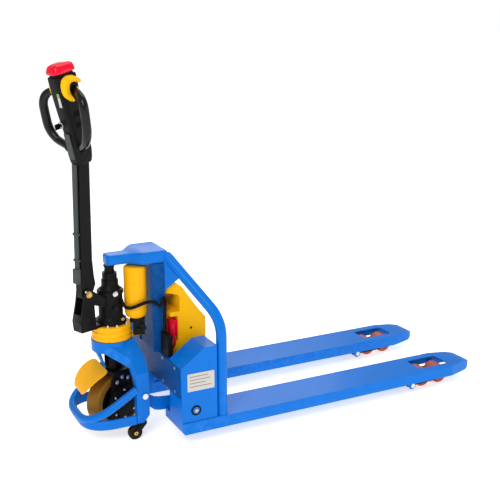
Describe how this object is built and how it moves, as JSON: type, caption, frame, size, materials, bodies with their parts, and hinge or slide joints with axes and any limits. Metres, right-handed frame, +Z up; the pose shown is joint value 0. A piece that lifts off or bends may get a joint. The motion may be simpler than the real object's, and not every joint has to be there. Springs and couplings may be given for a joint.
{
  "type": "pallet truck",
  "caption": "Semi-electric pallet truck with twin forks on tandem rollers, a steered drive wheel under a hydraulic lift pump, and a tilting tiller with a control head.",
  "frame": {"origin": "floor level, midway along and across the whole truck", "axes": "+X towards the fork tips, +Y to the left fork, +Z up"},
  "size_m": [1.6633, 0.55, 1.3166],
  "materials": {
    "blue_paint": "gloss powder coat",
    "dark_blue_paint": "gloss powder coat",
    "yellow_paint": "gloss powder coat",
    "yellow_plastic": "satin moulding",
    "black_paint": "satin paint",
    "black_casting": "painted casting",
    "chrome": "hard chrome",
    "steel": "zinc plated",
    "brass": "yellow passivated",
    "tyre_tan": "cast polyurethane",
    "roller_salmon": "cast polyurethane",
    "wheel_dark": "nylon",
    "black_plastic": "fine grain moulding",
    "red_plastic": "gloss moulding",
    "cable": "sheathed cable"
  },
  "bodies": {
    "base": {"base_arch": "blue_paint", "bumper_hoop": "blue_paint", "leg_pins": "steel", "steer_bearing": "steel", "wheel_guard": "yellow_paint"},
    "steering": {"drive_fork": "black_paint", "drive_axle": "steel", "turntable_ring": "yellow_paint", "ring_bolts": "steel", "pump_body": "black_casting", "power_pack": "yellow_paint", "valve_block": "black_paint", "tiller_bracket": "black_paint", "tiller_pin": "brass", "pump_cable": "cable"},
    "drive_wheel": {"drive_rim": "black_paint", "drive_tyre": "tyre_tan"},
    "ram": {"lifting_ram": "chrome"},
    "tiller": {"tiller_tube": "black_paint", "cable_cover": "black_plastic", "head_shell": "black_plastic", "hand_loop_left": "black_plastic", "hand_loop_right": "black_plastic", "key_switch": "steel"},
    "throttle_wings": {"throttle": "yellow_plastic"},
    "reverse_cap": {"belly_button": "red_plastic"},
    "lift_press": {"lift_button": "black_plastic"},
    "lower_press": {"lower_button": "black_plastic"},
    "start_key": {"key": "black_plastic"},
    "chassis": {"column": "dark_blue_paint", "head_casting": "blue_paint", "frame_tube_left": "blue_paint", "frame_tube_right": "blue_paint", "side_box_left": "blue_paint", "side_box_right": "blue_paint", "cross_member": "dark_blue_paint", "front_cover": "dark_blue_paint", "cover_screws": "steel", "controller": "black_plastic", "battery_case": "yellow_plastic", "battery_plug": "red_plastic", "fork_left": "blue_paint", "fork_right": "blue_paint", "fork_pins": "steel", "frame_cable": "cable"},
    "rocker": {"rocker": "blue_paint"},
    "rod_left": {"push_rod_left": "steel"},
    "rod_right": {"push_rod_right": "steel"},
    "yoke_left": {"yoke_left": "black_paint"},
    "yoke_right": {"yoke_right": "black_paint"},
    "bogie_left": {"bogie_left": "black_paint"},
    "bogie_right": {"bogie_right": "black_paint"},
    "load_wheel_front_left": {"roller_front_left": "roller_salmon"},
    "load_wheel_front_right": {"roller_front_right": "roller_salmon"},
    "load_wheel_rear_left": {"roller_rear_left": "roller_salmon"},
    "load_wheel_rear_right": {"roller_rear_right": "roller_salmon"},
    "caster_left": {"caster_left": "black_paint"},
    "caster_right": {"caster_right": "black_paint"},
    "caster_wheel_left": {"caster_wheel_left": "wheel_dark"},
    "caster_wheel_right": {"caster_wheel_right": "wheel_dark"}
  },
  "joints": [
    {"name": "steer", "type": "hinge", "parent": "base", "child": "steering", "pos_m": [-0.632, 0, 0.345], "axis": [0, 0, 1], "range_deg": [-110, 70], "deforming": ["pump_cable"]},
    {"name": "drive_spin", "type": "hinge", "parent": "steering", "child": "drive_wheel", "pos_m": [-0.632, 0, 0.105], "axis": [-0.342, 0.9397, 0], "continuous": true},
    {"name": "ram_slide", "type": "slide", "parent": "steering", "child": "ram", "axis": [0, 0, 1], "range_m": [0, 0.11]},
    {"name": "tiller_tilt", "type": "hinge", "parent": "steering", "child": "tiller", "pos_m": [-0.73537, -0.03762, 0.532], "axis": [-0.342, 0.9397, 0], "range_deg": [-78, 0], "stiffness_Nm_per_rad": 30, "springref_deg": 28.65},
    {"name": "throttle_turn", "type": "hinge", "parent": "tiller", "child": "throttle_wings", "pos_m": [-0.77409, -0.05172, 1.23301], "axis": [-0.342, 0.9397, 0], "range_deg": [-16, 16], "stiffness_Nm_per_rad": 0.8},
    {"name": "cap_press", "type": "slide", "parent": "tiller", "child": "reverse_cap", "axis": [0.2194, 0.0798, -0.9724], "range_m": [0, 0.008], "stiffness_N_per_m": 1500},
    {"name": "lift_press", "type": "slide", "parent": "tiller", "child": "lift_press", "axis": [-0.342, 0.9397, 0], "range_m": [0, 0.003], "stiffness_N_per_m": 800},
    {"name": "lower_press", "type": "slide", "parent": "tiller", "child": "lower_press", "axis": [-0.342, 0.9397, 0], "range_m": [0, 0.003], "stiffness_N_per_m": 800},
    {"name": "key_turn", "type": "hinge", "parent": "tiller", "child": "start_key", "pos_m": [-0.78496, -0.03865, 1.1113], "axis": [-0.9137, -0.3326, -0.2334], "range_deg": [0, 90]},
    {"name": "lift", "type": "slide", "parent": "base", "child": "chassis", "axis": [0, 0, 1], "range_m": [0, 0.11], "deforming": ["frame_cable"]},
    {"name": "rocker_turn", "type": "hinge", "parent": "chassis", "child": "rocker", "pos_m": [-0.427, 0, 0.127], "axis": [0, 1, 0], "range_deg": [-42, 0.5]},
    {"name": "rod_left", "type": "slide", "parent": "chassis", "child": "rod_left", "axis": [1, 0, 0], "range_m": [-0.0005, 0.0365]},
    {"name": "yoke_left", "type": "hinge", "parent": "chassis", "child": "yoke_left", "pos_m": [0.507, 0.195, 0.035], "axis": [0, 1, 0], "range_deg": [-0.5, 60.5]},
    {"name": "bogie_left", "type": "hinge", "parent": "yoke_left", "child": "bogie_left", "pos_m": [0.633, 0.195, 0.037], "axis": [0, 1, 0], "range_deg": [-60.5, 0.5]},
    {"name": "load_wheel_front_left", "type": "hinge", "parent": "bogie_left", "child": "load_wheel_front_left", "pos_m": [0.675, 0.195, 0.037], "axis": [0, 1, 0], "continuous": true},
    {"name": "load_wheel_rear_left", "type": "hinge", "parent": "bogie_left", "child": "load_wheel_rear_left", "pos_m": [0.591, 0.195, 0.037], "axis": [0, 1, 0], "continuous": true},
    {"name": "rod_right", "type": "slide", "parent": "chassis", "child": "rod_right", "axis": [1, 0, 0], "range_m": [-0.0005, 0.0365]},
    {"name": "yoke_right", "type": "hinge", "parent": "chassis", "child": "yoke_right", "pos_m": [0.507, -0.195, 0.035], "axis": [0, 1, 0], "range_deg": [-0.5, 60.5]},
    {"name": "bogie_right", "type": "hinge", "parent": "yoke_right", "child": "bogie_right", "pos_m": [0.633, -0.195, 0.037], "axis": [0, 1, 0], "range_deg": [-60.5, 0.5]},
    {"name": "load_wheel_front_right", "type": "hinge", "parent": "bogie_right", "child": "load_wheel_front_right", "pos_m": [0.675, -0.195, 0.037], "axis": [0, 1, 0], "continuous": true},
    {"name": "load_wheel_rear_right", "type": "hinge", "parent": "bogie_right", "child": "load_wheel_rear_right", "pos_m": [0.591, -0.195, 0.037], "axis": [0, 1, 0], "continuous": true},
    {"name": "caster_swivel_left", "type": "hinge", "parent": "base", "child": "caster_left", "pos_m": [-0.575, 0.134, 0.057], "axis": [0, 0, 1], "continuous": true},
    {"name": "caster_spin_left", "type": "hinge", "parent": "caster_left", "child": "caster_wheel_left", "pos_m": [-0.605, 0.134, 0.025], "axis": [0, 1, 0], "continuous": true},
    {"name": "caster_swivel_right", "type": "hinge", "parent": "base", "child": "caster_right", "pos_m": [-0.575, -0.134, 0.057], "axis": [0, 0, 1], "continuous": true},
    {"name": "caster_spin_right", "type": "hinge", "parent": "caster_right", "child": "caster_wheel_right", "pos_m": [-0.605, -0.134, 0.025], "axis": [0, 1, 0], "continuous": true}
  ],
  "couplings": [
    {"joint": "ram_slide", "follows": "lift", "ratio": 1},
    {"joint": "rocker_turn", "follows": "lift", "rad_per_m": -6.6344},
    {"joint": "rod_left", "follows": "lift", "ratio": 0.32682},
    {"joint": "yoke_left", "follows": "lift", "rad_per_m": 9.5052},
    {"joint": "bogie_left", "follows": "lift", "rad_per_m": -9.5052},
    {"joint": "rod_right", "follows": "lift", "ratio": 0.32682},
    {"joint": "yoke_right", "follows": "lift", "rad_per_m": 9.5052},
    {"joint": "bogie_right", "follows": "lift", "rad_per_m": -9.5052}
  ]
}
